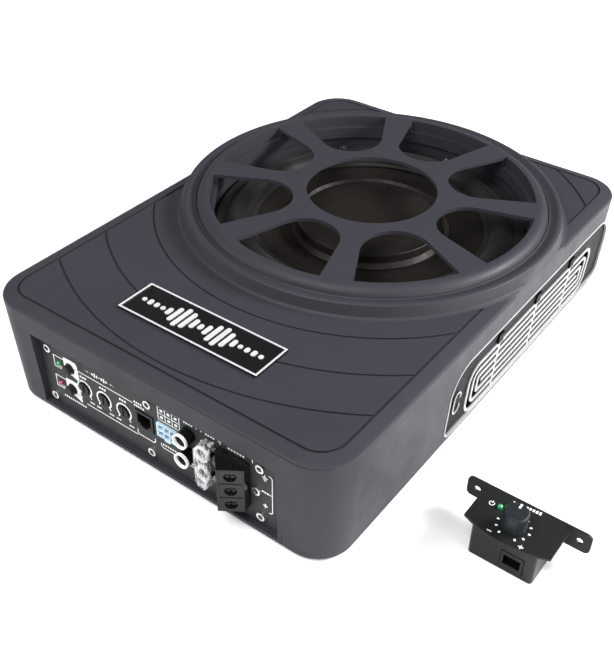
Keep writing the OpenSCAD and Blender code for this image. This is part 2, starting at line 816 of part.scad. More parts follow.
module rca_contacts() color([0.8, 0.8, 0.82]) {
  for (p = rca_places) out_of_panel(p) {
    translate([0, 0, -rca_depth]) difference() {
      cylinder(r = 3.88, h = rca_depth + rca_out - 1.5);
      translate([0, 0, -1]) cylinder(r = 3.4, h = 30);
    }
    translate([0, 0, -rca_depth]) difference() {
      cylinder(r = 1.69, h = rca_depth - 1);
      translate([0, 0, 1]) cylinder(r = 1.4, h = 12);
    }
  }
}

// Film that still wraps the second pair of sockets
module protective_film() color([0.9, 0.92, 0.95, 0.5]) {
  difference() {
    translate([rca_xs[1], panel_y - rca_out / 2 - 1.6, rca_z - 2]) rotate([90, 0, 0])
      linear_extrude(rca_out + 1.4, center = true) round_rect(5.7, 16, 4);
    for (s = [-1, 1]) out_of_panel([rca_xs[1], rca_z + s * rca_pitch / 2])
      translate([0, 0, -1]) cylinder(r = rca_r + 0.15, h = rca_out + 1.2);
  }
}

// ---------- power terminal ----------

module at_terminal_screw(i) {
  translate([terminal_face[0], terminal_face[1], terminal_mid + i * terminal_pitch])
    rotate([0, 0, terminal_turn]) rotate([90, 0, 0]) children();
}

module terminal_block() color([0.04, 0.04, 0.045]) {
  difference() {
    union() {
      translate([0, 0, terminal_z[0]]) linear_extrude(terminal_z[1] - terminal_z[0]) polygon(terminal_plan);
      translate([48, -164, terminal_z[0] + 0.4]) cube([18.6, 15, terminal_z[1] - terminal_z[0] - 0.8]);
      translate([49, -160, pcb_top]) cube([16, 10, terminal_z[0] - pcb_top + 1]);
    }
    for (i = [-1:1]) at_terminal_screw(i) translate([0, 0, -terminal_screw_len - 1])
      cylinder(r = terminal_screw_r + clear, h = 30);
    for (i = [-1:1]) translate([wire_mouth[0], wire_mouth[1], terminal_mid + i * terminal_pitch])
      rotate([0, 0, wire_turn]) rotate([90, 0, 0]) translate([0, 0, -7]) cylinder(r = wire_r, h = 10);
  }
}

module terminal_screw(i) color([0.5, 0.5, 0.52]) {
  at_terminal_screw(i) translate([0, 0, -terminal_screw_len + 0.3]) difference() {
    cylinder(r = terminal_screw_r, h = 5);
    translate([-0.5, -2.4, 4]) cube([1, 4.8, 2]);
    translate([-2.4, -0.5, 4]) cube([4.8, 1, 2]);
  }
}

module terminal_screw_top() terminal_screw(1);
module terminal_screw_mid() terminal_screw(0);
module terminal_screw_low() terminal_screw(-1);

// ---------- amplifier ----------

module amplifier_board() color([0.05, 0.3, 0.15]) {
  difference() {
    translate([pcb_x[0], pcb_y[0], pcb_z]) cube([pcb_x[1] - pcb_x[0], pcb_y[1] - pcb_y[0], pcb_t]);
    for (p = standoff_places) translate([p[0], p[1], 0]) cylinder(r = 1.6, h = 40);
  }
}

module board_standoffs() color([0.75, 0.68, 0.4]) {
  for (p = standoff_places) translate([p[0], p[1], base_top]) {
    cylinder(r = 3, h = pcb_z - base_top, $fn = 6);
    cylinder(r = 1.55, h = pcb_top + 1.8 - base_top);
    translate([0, 0, pcb_top - base_top]) cylinder(r = 3, h = 1.8);
  }
}

module heat_sink() color([0.6, 0.61, 0.63]) {
  translate([-94, -84, pcb_top]) cube([188, 4, 36]);
  for (i = [0:23]) translate([-93 + i * 8, -80, pcb_top]) cube([2, 9, 36]);
}

module power_transistors() color([0.07, 0.07, 0.07]) {
  for (i = [0:7]) translate([-80 + i * 22, -89, pcb_top]) {
    translate([-8, 0.4, 6]) cube([16, 4.6, 20]);
    for (k = [-1:1]) translate([k * 5 - 0.6, 2, 0]) cube([1.2, 0.8, 6]);
  }
}

module capacitors() color([0.1, 0.14, 0.3]) {
  for (i = [0:3]) translate([-78 + i * 20, -108, pcb_top]) cylinder(r = 8, h = 32);
  for (i = [0:2]) translate([52 + i * 13, -120, pcb_top]) cylinder(r = 5, h = 20);
}

module toroid_inductor() color([0.75, 0.42, 0.2]) {
  translate([18, -118, pcb_top + 9]) rotate_extrude() translate([14, 0]) circle(9 - 0.05);
}

module blade_fuses() color([0.2, 0.45, 0.8]) {
  for (i = [0:1]) translate([72 + i * 12, -147, pcb_top]) {
    translate([-1.9, 0, 5]) cube([3.8, 19, 13]);
    translate([-0.4, 1, 0]) cube([0.8, 5, 6]);
    translate([-0.4, 13, 0]) cube([0.8, 5, 6]);
  }
}

// ---------- remote level control ----------

module at_remote(z = 0) {
  translate([remote_x, remote_y, z]) children();
}

module remote_outline() {
  hw = remote_w / 2;
  hh = remote_h / 2;
  chamfer = 5.5;
  sag = 5;
  bow = (hw * hw + sag * sag) / (2 * sag);
  edge = asin(hw / bow);
  polygon(concat(
    [[-hw + chamfer, hh], [hw - chamfer, hh], [hw, hh - chamfer]],
    [for (i = [0:16]) let(a = edge - 2 * edge * i / 16) [bow * sin(a), -hh + bow - bow * cos(a)]],
    [[-hw, hh - chamfer]]
  ));
}

// Face plate with the two mounting wings bent back from its top edge
module remote_face_plate() color([0.06, 0.07, 0.06]) {
  at_remote() difference() {
    union() {
      translate([0, 0, remote_face_z - remote_plate_t]) linear_extrude(remote_plate_t) remote_outline();
      translate([0, remote_h / 2 - remote_plate_t, remote_face_z - remote_wing_d / 2])
        rotate([90, 0, 180]) linear_extrude(remote_plate_t)
          round_rect(remote_w / 2 + remote_wing, remote_wing_d / 2, 3);
    }
    for (s = [-1, 1]) translate([s * (remote_w / 2 + remote_wing - 6), 0, remote_face_z - remote_wing_d / 2])
      rotate([90, 0, 0]) cylinder(r = 1.9, h = 80, center = true);
    translate([0, remote_knob_y, 0]) cylinder(r = 3.3, h = 60);
    translate([remote_led_x, remote_led_y, 0]) cylinder(r = 1.6, h = 60);
  }
}

module remote_housing() color([0.08, 0.08, 0.08]) {
  at_remote() difference() {
    translate([0, -1, 0])
      round_prism(remote_box_w / 2, remote_box_l / 2, 2, 0, remote_face_z - remote_plate_t);
    translate([0, -1, 0])
      round_prism(remote_box_w / 2 - 1.5, remote_box_l / 2 - 1.5, 1, 1.5, remote_depth);
    translate([remote_jack_x - 6.2, -remote_box_l, 3]) cube([12.4, remote_box_l, 11.4]);
  }
}

module remote_knob() color([0.05, 0.06, 0.07]) {
  at_remote() translate([0, remote_knob_y, remote_face_z + 0.4]) difference() {
    union() {
      cylinder(r = remote_knob_r, h = remote_knob_h - 0.8);
      translate([0, 0, remote_knob_h - 0.8]) cylinder(r1 = remote_knob_r, r2 = remote_knob_r - 0.8, h = 0.8);
      translate([0, 0, -4.6]) cylinder(r = 3, h = 5);
    }
    translate([-0.6, remote_knob_r - 4, remote_knob_h - 0.4]) cube([1.2, 3.2, 1]);
  }
}

module remote_led() color([0.1, 0.6, 0.2]) {
  at_remote() translate([remote_led_x, remote_led_y, 0]) {
    translate([0, 0, remote_face_z - remote_plate_t - 3]) cylinder(r = 1.5, h = remote_plate_t + 3.4);
    translate([0, 0, remote_face_z + 0.4]) sphere(r = 1.5, $fn = 32);
  }
}

module remote_board() color([0.05, 0.3, 0.15]) {
  at_remote() {
    translate([-15, -11, 15.2]) cube([30, 20, 1.2]);
    translate([-4.5, remote_knob_y - 4.8, 7]) cube([9, 9.6, 8.2]);
  }
}

module remote_jack() color([0.04, 0.04, 0.04]) {
  at_remote() difference() {
    translate([remote_jack_x - 6, -13.2, 3.2]) cube([12, 5.2, 11]);
    translate([remote_jack_x - 4.6, -14, 5.4]) cube([9.2, 5, 6.4]);
  }
}

// ---------- nodes ----------

enclosure_shell();
base_plate();
base_screws();
rubber_feet();
nameplate();
grille_wheel();
grille_screws();
vent_panel(1);  // vent_panel_right
vent_fins(1);  // vent_fins_right
vent_trim(1);  // vent_trim_right
vent_panel(-1);  // vent_panel_left
vent_fins(-1);  // vent_fins_left
vent_trim(-1);  // vent_trim_left
woofer_basket();
basket_screws();
woofer_gasket();
woofer_surround();
woofer_spider();
woofer_cone();
dust_cap();
voice_coil_former();
voice_coil_winding();
top_plate();
magnet();
pole_yoke();
control_panel();
panel_screws();
power_led();
protect_led();
phase_button();
auto_on_button();
level_control();
bass_control();
filter_control();
control_bodies();
remote_socket();
speaker_input_socket();
speaker_input_pins();
rca_in_housing();
rca_out_housing();
rca_insulators();
rca_contacts();
protective_film();
terminal_block();
terminal_screw_top();
terminal_screw_mid();
terminal_screw_low();
amplifier_board();
board_standoffs();
heat_sink();
power_transistors();
capacitors();
toroid_inductor();
blade_fuses();
remote_face_plate();
remote_housing();
remote_knob();
remote_led();
remote_board();
remote_jack();
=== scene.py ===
import json
import math

import bmesh
import bpy
from mathutils import Matrix, Vector, noise


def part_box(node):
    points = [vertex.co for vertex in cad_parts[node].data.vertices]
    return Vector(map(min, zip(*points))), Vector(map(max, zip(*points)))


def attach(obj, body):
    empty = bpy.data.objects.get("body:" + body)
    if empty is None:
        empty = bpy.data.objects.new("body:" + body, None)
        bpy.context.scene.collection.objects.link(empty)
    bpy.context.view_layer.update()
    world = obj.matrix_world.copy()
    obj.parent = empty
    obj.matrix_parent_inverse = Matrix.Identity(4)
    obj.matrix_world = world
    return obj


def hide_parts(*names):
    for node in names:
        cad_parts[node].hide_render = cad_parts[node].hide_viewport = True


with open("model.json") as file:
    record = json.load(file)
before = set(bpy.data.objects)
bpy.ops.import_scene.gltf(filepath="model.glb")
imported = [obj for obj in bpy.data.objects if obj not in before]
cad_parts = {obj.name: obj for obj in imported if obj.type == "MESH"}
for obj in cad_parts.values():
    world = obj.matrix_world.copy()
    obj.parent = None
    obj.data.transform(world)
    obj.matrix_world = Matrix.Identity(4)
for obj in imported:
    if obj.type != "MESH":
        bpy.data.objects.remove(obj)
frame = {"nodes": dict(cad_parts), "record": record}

for startup_name in ("Cube", "Light", "Camera"):
    if startup_name in bpy.data.objects:
        bpy.data.objects.remove(bpy.data.objects[startup_name])
bpy.context.view_layer.update()

MM = 0.001
NODES = frame["nodes"]
PRINT_LIFT = 0.03 * MM
PRINT_DEPTH = 0.06 * MM
WALL_LEAN = math.atan(3 / 67)
VENT_MARK_INSET = 1.15 * MM
PANEL_SCREW_MIDDLE = 77.7 * MM
CAMERA_OFFSET = (0.2836, -0.4164, 0.3191)
CAMERA_FORWARD = (-0.46042891, 0.63448687, -0.6208314)
CAMERA_UP = (-0.37888001, 0.49200979, 0.7838216)
LENS_MM = 56.09
WORLD_BACK = 0.12
WORLD_FRONT = 0.6


def middle(node):
    """The centre of a CAD node's box."""
    low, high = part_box(node)
    return (low + high) / 2


# ---------- camera ----------

def place_camera():
    """The camera's place is given from the deck plane, the top of the enclosure behind the grille."""
    deck_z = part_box("nameplate")[0].z
    forward = Vector(CAMERA_FORWARD)
    up = Vector(CAMERA_UP)
    right = forward.cross(up).normalized()
    data = bpy.data.cameras.new("camera")
    data.sensor_fit = "HORIZONTAL"
    data.sensor_width = 36
    data.lens = LENS_MM
    data.shift_x = 0.001
    data.shift_y = 0.005
    data.clip_start = 0.01
    camera = bpy.data.objects.new("camera", data)
    bpy.context.scene.collection.objects.link(camera)
    axes = Matrix((right, up, -forward)).transposed().to_4x4()
    camera.matrix_world = Matrix.Translation(Vector(CAMERA_OFFSET) + Vector((0, 0, deck_z))) @ axes
    bpy.context.scene.camera = camera


place_camera()


# ---------- material kit ----------

class Shader:
    """A node tree with a Principled shader, and short calls for the textures that feed it."""

    def __init__(self, name, **painted_socket_shade):
        self.material = bpy.data.materials.new(name)
        self.material.use_nodes = True
        self.tree = self.material.node_tree
        self.bsdf = self.tree.nodes["Principled BSDF"]
        self.coordinates = self.add("ShaderNodeTexCoord").outputs["Object"]
        for socket, value in painted_socket_shade.items():
            self.bsdf.inputs[socket.replace("_", " ")].default_value = value

    def add(self, kind, **properties):
        node = self.tree.nodes.new(kind)
        for key, value in properties.items():
            setattr(node, key, value)
        return node

    def link(self, source, target):
        self.tree.links.new(source, target)

    def stretched(self, scale):
        """Coordinates scaled by a different amount along each axis."""
        mapping = self.add("ShaderNodeMapping")
        mapping.inputs["Scale"].default_value = scale
        self.link(self.coordinates, mapping.inputs["Vector"])
        return mapping.outputs["Vector"]

    def noise(self, scale, detail=3, roughness=0.55, vector=None):
        node = self.add("ShaderNodeTexNoise")
        node.inputs["Scale"].default_value = scale
        node.inputs["Detail"].default_value = detail
        node.inputs["Roughness"].default_value = roughness
        self.link(vector or self.coordinates, node.inputs["Vector"])
        return node.outputs["Fac"]

    def cells(self, scale, feature="F1"):
        node = self.add("ShaderNodeTexVoronoi", feature=feature)
        node.inputs["Scale"].default_value = scale
        self.link(self.coordinates, node.inputs["Vector"])
        return node.outputs["Distance"]

    def waves(self, scale, direction="X", distortion=0.0):
        node = self.add("ShaderNodeTexWave", wave_type="BANDS", bands_direction=direction)
        node.inputs["Scale"].default_value = scale
        node.inputs["Distortion"].default_value = distortion
        self.link(self.coordinates, node.inputs["Vector"])
        return node.outputs["Fac"]

    def ramp(self, factor, low, high, start=0.3, end=0.7):
        """A value or a colour that runs from low to high as the factor runs from start to end."""
        node = self.add("ShaderNodeValToRGB")
        node.color_ramp.elements[0].position = start
        node.color_ramp.elements[1].position = end
        node.color_ramp.elements[0].color = as_colour(low)
        node.color_ramp.elements[1].color = as_colour(high)
        self.link(factor, node.inputs["Fac"])
        return node.outputs["Color"]

    def mixed(self, first, second, share):
        node = self.add("ShaderNodeMix", data_type="RGBA")
        self.link(first, node.inputs[6])
        self.link(second, node.inputs[7])
        if isinstance(share, (int, float)):
            node.inputs[0].default_value = share
        else:
            self.link(share, node.inputs[0])
        return node.outputs[2]

    def colour(self, source):
        self.link(source, self.bsdf.inputs["Base Color"])

    def roughness(self, source):
        self.link(source, self.bsdf.inputs["Roughness"])

    def bump(self, height, strength, distance):
        """Adds a bump on top of the ones that are already there."""
        node = self.add("ShaderNodeBump")
        node.inputs["Strength"].default_value = strength
        node.inputs["Distance"].default_value = distance
        self.link(height, node.inputs["Height"])
        normal = self.bsdf.inputs["Normal"]
        if normal.is_linked:
            self.link(normal.links[0].from_socket, node.inputs["Normal"])
        self.link(node.outputs["Normal"], normal)


def as_colour(value):
    if isinstance(value, (int, float)):
        return (value, value, value, 1)
    return (*value, 1)


def shade(colour, factor):
    return tuple(min(channel * factor, 1) for channel in colour)


# ---------- materials ----------

def powder_coat(name, colour, roughness=0.5, grain=1.0):
    """Satin powder coat: fine orange peel, small pits and slow changes of tone."""
    s = Shader(name, Specular_IOR_Level=0.17)
    slow = s.ramp(s.noise(14, 4), shade(colour, 0.93), shade(colour, 1.08))
    speck = s.ramp(s.noise(2600, 2), shade(colour, 0.86), shade(colour, 1.16))
    s.colour(s.mixed(slow, speck, 0.5))
    s.roughness(s.ramp(s.noise(60, 5), roughness - 0.05, roughness + 0.06))
    s.bump(s.noise(1700, 2), 0.22 * grain, 0.05 * MM)
    s.bump(s.cells(900), 0.12 * grain, 0.06 * MM)
    return s.material


def moulded_plastic(name, colour, roughness=0.4, texture=0.1, scale=1500, **painted_socket_shade):
    """Moulded plastic: spark-eroded grain, faint flow marks and handling haze."""
    s = Shader(name, **{"Specular_IOR_Level": 0.25, **painted_socket_shade})
    s.colour(s.ramp(s.noise(40, 5), shade(colour, 0.88), shade(colour, 1.12)))
    haze = s.mixed(s.ramp(s.noise(90, 6), roughness - 0.06, roughness + 0.06),
                   s.ramp(s.cells(scale * 0.5), roughness - 0.04, roughness + 0.04), 0.4)
    s.roughness(haze)
    s.bump(s.noise(scale, 3), texture, 0.05 * MM)
    return s.material


def rubber(name, colour, scale=900, strength=0.2):
    s = Shader(name, Specular_IOR_Level=0.3, Sheen_Weight=0.05)
    s.colour(s.ramp(s.noise(120, 6), shade(colour, 0.8), shade(colour, 1.25)))
    s.roughness(s.ramp(s.noise(300, 4), 0.55, 0.72))
    s.bump(s.noise(scale, 4), strength, 0.08 * MM)
    return s.material


def brushed_metal(name, colour, along="X", roughness=0.3, metallic=1.0):
    """Metal with fine scratches along one axis and a slow change of tone."""
    stretch = {"X": (12, 900, 900), "Y": (900, 12, 900), "Z": (900, 900, 12)}[along]
    s = Shader(name, Metallic=metallic)
    scratch = s.noise(1, 3, 0.7, s.stretched(stretch))
    s.colour(s.mixed(s.ramp(scratch, shade(colour, 0.85), shade(colour, 1.1)),
                     s.ramp(s.noise(50, 4), shade(colour, 0.9), shade(colour, 1.06)), 0.4))
    s.roughness(s.ramp(scratch, roughness - 0.07, roughness + 0.1))
    s.bump(scratch, 0.12, 0.03 * MM)
    return s.material


def plated_metal(name, colour, roughness=0.25, grain=0.08):
    """Plated or turned metal with a faint cloudiness and small pits."""
    s = Shader(name, Metallic=1.0)
    s.colour(s.ramp(s.noise(250, 5), shade(colour, 0.86), shade(colour, 1.08)))
    s.roughness(s.ramp(s.noise(420, 4), roughness - 0.06, roughness + 0.1))
    s.bump(s.noise(1800, 3), grain, 0.04 * MM)
    return s.material


def paper_cone(name, colour):
    """Pressed paper pulp: short fibres, cloudy dye and a dull doped surface."""
    s = Shader(name, Specular_IOR_Level=0.16)
    fibre = s.noise(1, 5, 0.7, s.stretched((700, 260, 700)))
    s.colour(s.mixed(s.ramp(fibre, shade(colour, 0.7), shade(colour, 1.35)),
                     s.ramp(s.noise(30, 4), shade(colour, 0.85), shade(colour, 1.2)), 0.5))
    s.roughness(s.ramp(s.noise(200, 5), 0.42, 0.6))
    s.bump(fibre, 0.35, 0.08 * MM)
    s.bump(s.noise(90, 3), 0.1, 0.3 * MM)
    return s.material


def woven_cloth(name, colour, scale=900):
    s = Shader(name, Sheen_Weight=0.2)
    warp = s.waves(scale, "X")
    weft = s.waves(scale, "Y")
    weave = s.mixed(warp, weft, 0.5)
    s.colour(s.mixed(s.ramp(weave, shade(colour, 0.6), shade(colour, 1.2)),
                     s.ramp(s.noise(60, 4), shade(colour, 0.85), shade(colour, 1.15)), 0.4))
    s.roughness(s.ramp(s.noise(300, 3), 0.7, 0.85))
    s.bump(weave, 0.5, 0.15 * MM)
    return s.material


def wound_wire(name, colour, scale=500, direction="Z"):
    """Enamelled wire lying turn against turn."""
    s = Shader(name, Metallic=0.85, Coat_Weight=0.6)
    turns = s.waves(scale, direction, 0.3)
    s.colour(s.ramp(turns, shade(colour, 0.35), shade(colour, 1.15), 0.1, 0.6))
    s.roughness(s.ramp(s.noise(400, 3), 0.22, 0.38))
    s.bump(turns, 0.8, 0.2 * MM)
    return s.material


def ferrite(name):
    s = Shader(name)
    s.colour(s.mixed(s.ramp(s.noise(900, 4), (0.05, 0.05, 0.055), (0.13, 0.13, 0.14)),
                     s.ramp(s.cells(350), (0.06, 0.06, 0.065), (0.11, 0.11, 0.115)), 0.5))
    s.roughness(s.ramp(s.noise(500, 4), 0.5, 0.75))
    s.bump(s.noise(1100, 5), 0.4, 0.1 * MM)
    return s.material


def circuit_board(name):
    """Solder mask over copper tracks, with a fibre weave below."""
    s = Shader(name, Coat_Weight=0.3)
    tracks = s.ramp(s.cells(170, "DISTANCE_TO_EDGE"), 0, 1, 0.04, 0.07)
    base = s.ramp(s.noise(80, 4), (0.008, 0.09, 0.035), (0.014, 0.14, 0.055))
    copper = s.ramp(s.noise(500, 3), (0.03, 0.22, 0.08), (0.05, 0.3, 0.1))
    s.colour(s.mixed(copper, base, tracks))
    s.roughness(s.ramp(s.noise(250, 4), 0.25, 0.42))
    s.bump(s.waves(600, "X"), 0.08, 0.04 * MM)
    s.bump(tracks, 0.2, 0.05 * MM)
    return s.material


def lens(name, colour, glow):
    """A tinted LED lens with a faint, uneven glow."""
    s = Shader(name, Coat_Weight=1.0, IOR=1.5)
    s.colour(s.ramp(s.noise(700, 3), shade(colour, 0.7), shade(colour, 1.3)))
    s.roughness(s.ramp(s.noise(900, 2), 0.08, 0.18))
    s.link(s.ramp(s.noise(500, 2), shade(colour, 0.8), shade(colour, 1.4)), s.bsdf.inputs["Emission Color"])
    s.bsdf.inputs["Emission Strength"].default_value = glow
    return s.material


def white_ink(name):
    """Screen print that is a little thin in places."""
    s = Shader(name)
    s.colour(s.ramp(s.noise(1600, 4), (0.55, 0.56, 0.56), (0.86, 0.87, 0.87), 0.25, 0.5))
    s.roughness(s.ramp(s.noise(900, 3), 0.45, 0.62))
    s.bump(s.noise(2200, 2), 0.15, 0.02 * MM)
    return s.material


def clear_film(name):
    """Thin clear film in upright folds, with painted glints: whiter, more opaque streaks along the folds."""
    s = Shader(name, IOR=1.5, Coat_Weight=0.8)
    folds_and_painted_glints = s.noise(1, 4, 0.6, s.stretched((520, 520, 150)))
    # painted glints: white, more opaque streaks along the upright folds stand in for reflections on the film
    s.colour(s.ramp(folds_and_painted_glints, (0.6, 0.62, 0.65), (0.97, 0.98, 1.0), 0.35, 0.65))
    s.link(s.ramp(folds_and_painted_glints, 0.1, 0.72, 0.42, 0.68), s.bsdf.inputs["Alpha"])
    s.roughness(s.ramp(s.noise(400, 4), 0.06, 0.2))
    s.bump(s.noise(330, 4), 0.9, 0.6 * MM)
    s.bump(folds_and_painted_glints, 0.9, 0.8 * MM)
    return s.material


COAT = (0.0275, 0.0278, 0.0345)
SILVER = (0.74, 0.75, 0.76)

MATERIALS = {
    "enclosure_coat": powder_coat("powder_coat", COAT, 0.47),
    "base_black": powder_coat("base_coat", (0.02, 0.02, 0.022), 0.55),
    "steel": plated_metal("zinc_screws", (0.6, 0.6, 0.6), 0.3),
    "panel_steel": plated_metal("bright_screws", (0.88, 0.88, 0.87), 0.22),
    "rubber": rubber("black_rubber", (0.006, 0.0055, 0.0055)),
    "plate_black": moulded_plastic("nameplate_black", (0.006, 0.006, 0.0065), 0.3, 0.05,
                                   Specular_IOR_Level=0.15),
    "vent_black": moulded_plastic("vent_plastic", (0.004, 0.004, 0.0045), 0.45, 0.15,
                                  Specular_IOR_Level=0.06),
    "silver": brushed_metal("satin_silver", SILVER, "Y", 0.34, 0.45),
    "vent_silver": brushed_metal("vent_silver", (0.4, 0.405, 0.41), "Y", 0.36, 0.4),
    "basket_black": powder_coat("basket_paint", (0.01, 0.01, 0.011), 0.4),
    "cone_black": paper_cone("paper_pulp", (0.0085, 0.0065, 0.0055)),
    "cap_black": paper_cone("dust_cap_pulp", (0.0095, 0.0073, 0.0062)),
    "spider_cloth": woven_cloth("spider_weave", (0.55, 0.4, 0.16)),
    "kapton": moulded_plastic("amber_film", (0.5, 0.28, 0.07), 0.2, 0.03, Coat_Weight=0.6),
    "copper": wound_wire("copper_winding", (0.78, 0.36, 0.16)),
    "ferrite": ferrite("ferrite"),
    "zinc_steel": plated_metal("zinc_plate", (0.62, 0.62, 0.64), 0.32),
    "panel_grey": powder_coat("panel_paint", (0.034, 0.036, 0.0365), 0.5, 0.6),
    "led_green": lens("green_lens", (0.012, 0.26, 0.08), 0.12),
    "led_red": lens("red_lens", (0.3, 0.014, 0.05), 0.1),
    "control_black": moulded_plastic("control_plastic", (0.004, 0.004, 0.004), 0.42, 0.2),
    "component_blue": moulded_plastic("component_plastic", (0.04, 0.07, 0.2), 0.35, 0.08),
    "socket_black": moulded_plastic("socket_nylon", (0.004, 0.004, 0.0045), 0.34, 0.1),
    "nylon_white": moulded_plastic("connector_nylon", (0.45, 0.58, 0.68), 0.4, 0.1),
    "contact_tin": plated_metal("tinned_contact", (0.82, 0.79, 0.7), 0.25),
    "insulator_white": moulded_plastic("insulator_white", (0.86, 0.86, 0.84), 0.35, 0.06),
    "clear_film": clear_film("clear_film"),
    "terminal_black": moulded_plastic("terminal_plastic", (0.006, 0.006, 0.007), 0.24, 0.12, 900,
                                      Specular_IOR_Level=0.35),
    "board_green": circuit_board("circuit_board"),
    "brass": plated_metal("turned_brass", (0.75, 0.56, 0.24), 0.28),
    "sink_aluminium": brushed_metal("extruded_aluminium", (0.72, 0.73, 0.75), "Z", 0.35),
    "epoxy_black": moulded_plastic("epoxy", (0.016, 0.016, 0.017), 0.5, 0.35),
    "fuse_blue": moulded_plastic("fuse_plastic", (0.03, 0.16, 0.6), 0.18, 0.04, Coat_Weight=0.4),
    "remote_black": powder_coat("remote_coat", (0.009, 0.0105, 0.0098), 0.42, 0.7),
    "knob_black": moulded_plastic("knob_plastic", (0.012, 0.016, 0.019), 0.36, 0.12),
    "white_ink": white_ink("white_ink"),
    # painted shade: the terminal screws are darkened to stand in for the shade of their deep holes
    "screw_steel_painted_shade": plated_metal("screw_steel_painted_shade", (0.07, 0.07, 0.075), 0.3),
    "shaded_nickel": plated_metal("shaded_nickel", (0.3, 0.29, 0.27), 0.35),
}
RECORD_SLOTS = {row["node"]: row["material_slot"] for row in frame["record"]["subparts"]}
OWN_MATERIAL = {
    "panel_screws": "panel_steel", "rca_contacts": "shaded_nickel", "terminal_screw_top": "screw_steel_painted_shade",
    "terminal_screw_mid": "screw_steel_painted_shade", "terminal_screw_low": "screw_steel_painted_shade", "vent_fins_right": "vent_silver",
    "vent_fins_left": "vent_silver", "vent_trim_right": "vent_silver", "vent_trim_left": "vent_silver",
}


def dress_nodes():
    """Gives every CAD node the procedural material of its slot."""
    for node, piece in NODES.items():
        material = MATERIALS[OWN_MATERIAL.get(node, RECORD_SLOTS[node])]
        for material_slot in piece.material_slots:
            material_slot.link = "OBJECT"
            material_slot.material = material


dress_nodes()


# ---------- rounded edges on CAD nodes ----------

def soften(node, width, segments=2, angle=28):
    """Rounds a CAD node's sharp edges with modifiers, which leave its own mesh as it is."""
    piece = NODES[node]
    weld = piece.modifiers.new("weld", "WELD")
    weld.merge_threshold = 0.001 * MM
    flat = piece.modifiers.new("flat", "DECIMATE")
    flat.decimate_type = "DISSOLVE"
    flat.angle_limit = math.radians(0.3)
    bevel = piece.modifiers.new("bevel", "BEVEL")
    bevel.width = width
    bevel.segments = segments
    bevel.limit_method = "ANGLE"
    bevel.angle_limit = math.radians(angle)
    bevel.use_clamp_overlap = True
    bevel.harden_normals = False
    normals = piece.modifiers.new("normals", "WEIGHTED_NORMAL")
    normals.weight = 50
    normals.keep_sharp = False


SOFTENED = {
    "grille_wheel": 0.55, "enclosure_shell": 0.35, "nameplate": 0.12,
    "terminal_block": 0.35, "speaker_input_socket": 0.2, "remote_socket": 0.2,
    "remote_knob": 0.35, "remote_face_plate": 0.25, "remote_housing": 0.3,
    "phase_button": 0.3, "auto_on_button": 0.3, "vent_fins_right": 0.3, "vent_fins_left": 0.3,
    "base_plate": 0.2, "heat_sink": 0.2,
}
for softened_node, softened_width in SOFTENED.items():
    soften(softened_node, softened_width * MM)


# ---------- shape kit ----------

def finish_mesh(name, mesh_data, body, material, smooth=True):
    """Turns a bmesh into a piece that rides on a body."""
    bmesh.ops.recalc_face_normals(mesh_data, faces=mesh_data.faces)
    mesh = bpy.data.meshes.new(name)
    mesh_data.to_mesh(mesh)
    mesh_data.free()
    piece = bpy.data.objects.new(name, mesh)
    bpy.context.scene.collection.objects.link(piece)
    mesh.materials.append(MATERIALS[material])
    if smooth:
        mesh.shade_smooth()
        mesh.set_sharp_from_angle(angle=math.radians(35))
    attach(piece, body)
    return piece


def arc_points(centre, radius, start, end, count):
    """Points of an arc, in degrees from the first axis."""
    angles = [math.radians(start + (end - start) * i / count) for i in range(count + 1)]
    return [(centre[0] + radius * math.cos(a), centre[1] + radius * math.sin(a)) for a in angles]


def rounded_box(centre, half_w, half_h, radius, count=6):
    """The outline of a flat rounded rectangle."""
    points = []
    for sx, sy, start in ((1, 1, 0), (-1, 1, 90), (-1, -1, 180), (1, -1, 270)):
        corner = (centre[0] + sx * (half_w - radius), centre[1] + sy * (half_h - radius))
        points += arc_points(corner, radius, start, start + 90, count)
    return points


